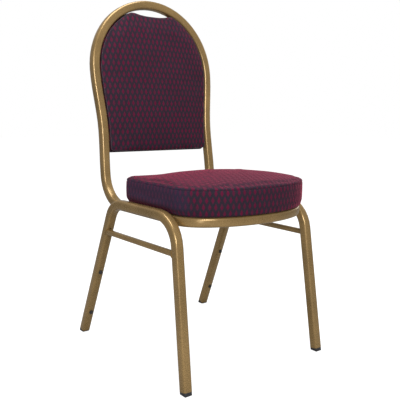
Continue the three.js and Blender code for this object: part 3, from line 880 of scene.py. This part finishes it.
class CHAIR_OT_back(bpy.types.Operator):
    """Makes the back pad: foam and cloth filled by simulation, its rear panel and its welt"""

    bl_idname = "chair.back"
    bl_label = "Back pad"

    BOARD_REAR = -0.0017
    BOARD_FRONT = 0.0065
    HELD_DEPTH = 0.0085
    WELT_DEPTHS = {"front": 0.0118, "rear": -0.0098}
    WELT_STEP = 0.006
    WELT_RISE = 0.0006

    def outline(self, inset):
        """The rear panel's outline as (across, up the back) pairs in order, drawn in by inset."""
        co = points(frame["nodes"]["back_rear_panel"])
        flat = np.column_stack([co[:, 0], co @ np.array(RISE)])
        flat = np.unique(np.round(flat, 5), axis=0)
        middle = np.array([0, (flat[:, 1].min() + flat[:, 1].max()) / 2])
        flat = flat[np.argsort(np.arctan2(*(flat - middle).T[::-1]))]
        flat = flat[np.hypot(*(flat - np.roll(flat, 1, 0)).T) > 0.0004]
        ahead = np.roll(flat, -1, 0) - np.roll(flat, 1, 0)
        normal = np.column_stack([-ahead[:, 1], ahead[:, 0]])
        normal /= np.maximum(np.hypot(*normal.T), 1e-9)[:, None]
        flat = flat + normal * inset
        closed = np.vstack([flat, flat[:1]])
        travelled = np.concatenate([[0], np.cumsum(np.hypot(*np.diff(closed, axis=0).T))])
        stops = np.arange(0, travelled[-1], self.WELT_STEP)
        return np.column_stack([np.interp(stops, travelled, column) for column in closed.T])

    def place(self, flat, depth):
        root = self.foot(depth)
        return [Vector((x, 0, 0)) + RISE * float(v) + root for x, v in flat]

    def foot(self, depth):
        """Where the back's middle plane, moved forward by depth, meets zero up the back."""
        board = points(frame["nodes"]["back_board"])
        level = (board @ np.array(PROUD)).min() - self.BOARD_REAR
        return PROUD * (float(level) + depth)

    def depths(self, co):
        """How far each point lies in front of the back's middle plane."""
        return co @ np.array(PROUD) - float(self.foot(0).dot(PROUD))

    def pad(self, settings):
        piece = copied("back_pad", "back_foam", "back_board")
        co = points(piece)
        step = np.where(np.abs(self.depths(co) - self.BOARD_FRONT) < 0.0006, 0.0003, 0)
        put_points(piece, co + step[:, None] * np.array(PROUD))
        applied(piece, "REMESH", mode="VOXEL", voxel_size=settings.voxel)
        held = self.depths(points(piece)) < self.HELD_DEPTH
        puffed(piece, held, settings.back_swell, settings)
        evened(piece, 2)
        applied(piece, "SUBSURF", levels=1, render_levels=1)
        outward_side(piece)
        self.map(piece)
        smoothed(piece, math.radians(70))
        finished(piece, paint("cloth"), "cloth", "back_cover", "back_foam", "back_board")

    def map(self, piece):
        vertex, _ = corner_facts(piece)
        co = points(piece)
        up = co @ np.array(RISE)
        lay_cloth(piece, np.column_stack([co[vertex, 0], up[vertex]]))

    def rear(self):
        piece = copied("back_rear_cloth", "back_rear_panel")
        editing(piece, lambda: bpy.ops.mesh.dissolve_limited(angle_limit=math.radians(1)))
        applied(piece, "BEVEL", width=0.0013, segments=3, limit_method="ANGLE", angle_limit=math.radians(50))
        smoothed(piece, math.radians(40))
        self.map(piece)
        finished(piece, paint("cloth"), "cloth", "back_rear_panel")

    def seated(self, place):
        """The point of the pad's cloth nearest to place, a little proud of it."""
        _, spot, facing, _ = bpy.data.objects["back_pad"].closest_point_on_mesh(place)
        return spot + facing * self.WELT_RISE

    def welt(self, settings):
        for end, inset in (("front", settings.welt + 0.0002), ("rear", settings.welt - 0.0004)):
            name = f"back_welt_{end}"
            curve = bpy.data.curves.new(name, "CURVE")
            curve.dimensions = "3D"
            curve.bevel_depth = settings.welt
            curve.bevel_resolution = 3
            spline = curve.splines.new("POLY")
            path = self.place(self.outline(inset), self.WELT_DEPTHS[end])
            if end == "front":
                path = [self.seated(spot) for spot in path]
            spline.points.add(len(path) - 1)
            for point, place in zip(spline.points, path):
                point.co = (*place, 1)
            spline.use_cyclic_u = True
            piece = bpy.data.objects.new(name, curve)
            bpy.context.scene.collection.objects.link(piece)
            only(piece)
            bpy.ops.object.convert(target="MESH")
            piece = bpy.context.object
            outward_side(piece)
            smoothed(piece, math.radians(60))
            finished(piece, paint("welt"), "cloth")

    def execute(self, context):
        settings = context.scene.chair_cushions
        self.pad(settings)
        self.rear()
        self.welt(settings)
        return {"FINISHED"}


class CHAIR_OT_feet(bpy.types.Operator):
    """Rounds the edges of the glides and the stacking bumpers"""

    bl_idname = "chair.feet"
    bl_label = "Glides and bumpers"

    GLIDE_EDGE = 0.0012
    BUMPER_EDGE = 0.0005

    def execute(self, context):
        for node, slot in SLOTS.items():
            if not node.startswith(("glide_", "stack_bumper_")):
                continue
            piece = copied(f"{node}_moulded", node)
            editing(piece, lambda: bpy.ops.mesh.dissolve_limited(angle_limit=math.radians(2)))
            applied(
                piece,
                "BEVEL",
                width=self.GLIDE_EDGE if node.startswith("glide_") else self.BUMPER_EDGE,
                segments=3,
                limit_method="ANGLE",
                angle_limit=math.radians(40),
            )
            smoothed(piece, math.radians(40))
            finished(piece, paint(slot), slot, node)
        return {"FINISHED"}


class CHAIR_OT_staples(bpy.types.Operator):
    """Staples the lining and the turned-under cloth to the seat board"""

    bl_idname = "chair.staples"
    bl_label = "Staples"

    STAPLE = (0.0102, 0.0011, 0.0006)
    INSET = 0.023
    FIRST = 0.012
    PITCH = 0.031
    SLANT = 0.18

    def execute(self, context):
        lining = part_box("seat_dust_cover")[0].z
        path = seat_path(-self.INSET)
        lengths = np.hypot(*np.diff(path, axis=0).T)
        travelled = np.concatenate([[0], np.cumsum(lengths)])
        wanted = np.arange(self.FIRST, travelled[-1], self.PITCH)
        bpy.ops.object.select_all(action="DESELECT")
        bpy.ops.mesh.primitive_cube_add(size=1)
        master = bpy.context.object
        master.scale = self.STAPLE
        settled(master)
        applied(master, "BEVEL", width=0.0002, segments=1)
        parts = []
        for number, distance in enumerate(wanted):
            index = min(int(np.searchsorted(travelled, distance)), len(path) - 1)
            ahead = path[index] - path[index - 1]
            lean = self.SLANT * math.sin(number * 2.7)
            part = bpy.data.objects.new("staple", master.data.copy())
            turn = Matrix.Rotation(math.atan2(ahead[1], ahead[0]) + lean, 4, "Z")
            place = Matrix.Translation((*path[index], lining - 0.0003))
            part.data.transform(place @ turn)
            bpy.context.scene.collection.objects.link(part)
            parts.append(part)
        bpy.data.objects.remove(master)
        piece = joined("lining_staples", parts)
        finished(piece, paint("zinc"), "zinc")
        return {"FINISHED"}


class CHAIR_OT_finishes(bpy.types.Operator):
    """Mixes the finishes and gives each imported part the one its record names"""

    bl_idname = "chair.finishes"
    bl_label = "Finishes"

    def execute(self, context):
        powder_coat(context.scene.chair_frame)
        bead_metal(context.scene.chair_frame)
        jacquard(context.scene.chair_cloth)
        welt_cloth("welt", (0.034, 0.014, 0.028))
        moulded("glide_plastic", (0.020, 0.020, 0.023), 0.48, 500)
        moulded("bumper_rubber", (0.020, 0.019, 0.019), 0.62, 700)
        moulded("zinc", (0.52, 0.53, 0.55), 0.34, 350, 1.0)
        plywood()
        lining_cloth()
        foam_cells()
        for node, slot in SLOTS.items():
            mesh = frame["nodes"][node].data
            mesh.materials.clear()
            mesh.materials.append(paint(slot))
        return {"FINISHED"}


class CHAIR_OT_stage(bpy.types.Operator):
    """Sets out the pale floor, the soft lights and the camera"""

    bl_idname = "chair.stage"
    bl_label = "Stage"

    FLOOR_GLOW = 0.88
    ROOM_LIGHT = 0.39
    LAMPS = {
        "key": {"place": (-1.4, -2.6, 1.6), "target": (0, 0, 0.6), "width": 1.0, "power": 54},
        "low": {"place": (-2.0, -2.4, 0.45), "target": (0, 0, 0.35), "width": 0.6, "power": 5},
        "top": {"place": (0.0, -0.2, 3.0), "target": (0, 0, 0.5), "width": 1.8, "power": 64},
        "rim": {"place": (2.6, 0.6, 1.3), "target": (0, 0, 0.6), "width": 1.2, "power": 6},
    }

    def seen_only(self, tree, seen, unseen):
        """A number that is one value to the camera and another to light that bounces."""
        path = tree.nodes.new("ShaderNodeLightPath")
        choice = tree.nodes.new("ShaderNodeMapRange")
        choice.inputs["To Min"].default_value = unseen
        choice.inputs["To Max"].default_value = seen
        tree.links.new(path.outputs["Is Camera Ray"], choice.inputs["Value"])
        return choice.outputs[0]

    def floor(self):
        bpy.ops.object.select_all(action="DESELECT")
        bpy.ops.mesh.primitive_plane_add(size=24, location=(0, 0, 0))
        floor = bpy.context.object
        floor.name = "pale_floor"
        recipe = Recipe("pale_floor")
        recipe.set(Base_Color=(0.40, 0.40, 0.40, 1), Roughness=0.9, Specular_IOR_Level=0.1)
        recipe.set(Emission_Color=(1, 1, 1, 1))
        recipe.feed(
            recipe.shader.inputs["Emission Strength"],
            self.seen_only(recipe.material.node_tree, self.FLOOR_GLOW, 0.0),
        )
        floor.data.materials.append(recipe.material)

    def light(self, name, place, target, width, power):
        data = bpy.data.lights.new(name, "AREA")
        data.shape = "RECTANGLE"
        data.size = width
        data.size_y = width * 1.2
        data.energy = power
        lamp = bpy.data.objects.new(name, data)
        lamp.location = place
        lamp.rotation_euler = (Vector(target) - Vector(place)).to_track_quat("-Z", "Y").to_euler()
        bpy.context.scene.collection.objects.link(lamp)

    def world(self):
        world = bpy.data.worlds.new("soft_room")
        world.use_nodes = True
        nodes, links = world.node_tree.nodes, world.node_tree.links
        strength = self.seen_only(world.node_tree, 1.0, self.ROOM_LIGHT)
        links.new(strength, nodes["Background"].inputs["Strength"])
        nodes["Background"].inputs["Color"].default_value = (1, 1, 1, 1)
        bpy.context.scene.world = world
        bpy.context.scene.view_settings.view_transform = "Standard"

    def camera(self, settings):
        ahead = Vector(
            (
                math.sin(settings.heading) * math.cos(settings.tilt),
                math.cos(settings.heading) * math.cos(settings.tilt),
                math.sin(settings.tilt),
            )
        )
        right = Vector((math.cos(settings.heading), -math.sin(settings.heading), 0))
        above = right.cross(ahead)
        turned = right * math.cos(settings.roll) + above * math.sin(settings.roll)
        above = above * math.cos(settings.roll) - right * math.sin(settings.roll)
        data = bpy.data.cameras.new("studio_camera")
        data.lens = settings.lens
        data.sensor_width = 36
        data.shift_x = -0.0035
        data.shift_y = 0.0085
        camera = bpy.data.objects.new("studio_camera", data)
        axes = Matrix((turned, above, -ahead)).transposed().to_4x4()
        camera.matrix_world = Matrix.Translation(settings.eye) @ axes
        bpy.context.scene.collection.objects.link(camera)
        bpy.context.scene.camera = camera

    def execute(self, context):
        self.floor()
        self.world()
        for name, lamp in self.LAMPS.items():
            self.light(name, **lamp)
        self.camera(context.scene.chair_stage)
        return {"FINISHED"}


class CHAIR_PT_builder(bpy.types.Panel):
    """Lists the chair's settings and the steps that build it"""

    bl_label = "Stacking chair"
    bl_idname = "CHAIR_PT_builder"
    bl_space_type = "VIEW_3D"
    bl_region_type = "UI"
    bl_category = "Chair"

    def draw(self, context):
        scene = context.scene
        for label, group in (
            ("Frame", scene.chair_frame),
            ("Cloth", scene.chair_cloth),
            ("Cushions", scene.chair_cushions),
            ("Stage", scene.chair_stage),
        ):
            box = self.layout.box()
            box.label(text=label)
            for key in group.bl_rna.properties.keys():
                if key not in ("rna_type", "name"):
                    box.prop(group, key)
        for step in STEPS:
            self.layout.operator(step.bl_idname)


GROUPS = {
    "chair_frame": FrameSettings,
    "chair_cloth": ClothSettings,
    "chair_cushions": CushionSettings,
    "chair_stage": StageSettings,
}
STEPS = (
    CHAIR_OT_finishes,
    CHAIR_OT_tubes,
    CHAIR_OT_welds,
    CHAIR_OT_seat,
    CHAIR_OT_back,
    CHAIR_OT_feet,
    CHAIR_OT_staples,
    CHAIR_OT_stage,
)


def register():
    for group in (*GROUPS.values(), *STEPS, CHAIR_PT_builder):
        bpy.utils.register_class(group)
    for name, group in GROUPS.items():
        setattr(bpy.types.Scene, name, PointerProperty(type=group))


def unregister():
    for name in GROUPS:
        delattr(bpy.types.Scene, name)
    for group in reversed((*GROUPS.values(), *STEPS, CHAIR_PT_builder)):
        bpy.utils.unregister_class(group)


def main():
    register()
    for step in STEPS:
        family, name = step.bl_idname.split(".")
        getattr(getattr(bpy.ops, family), name)()


if __name__ == "__main__":
    main()
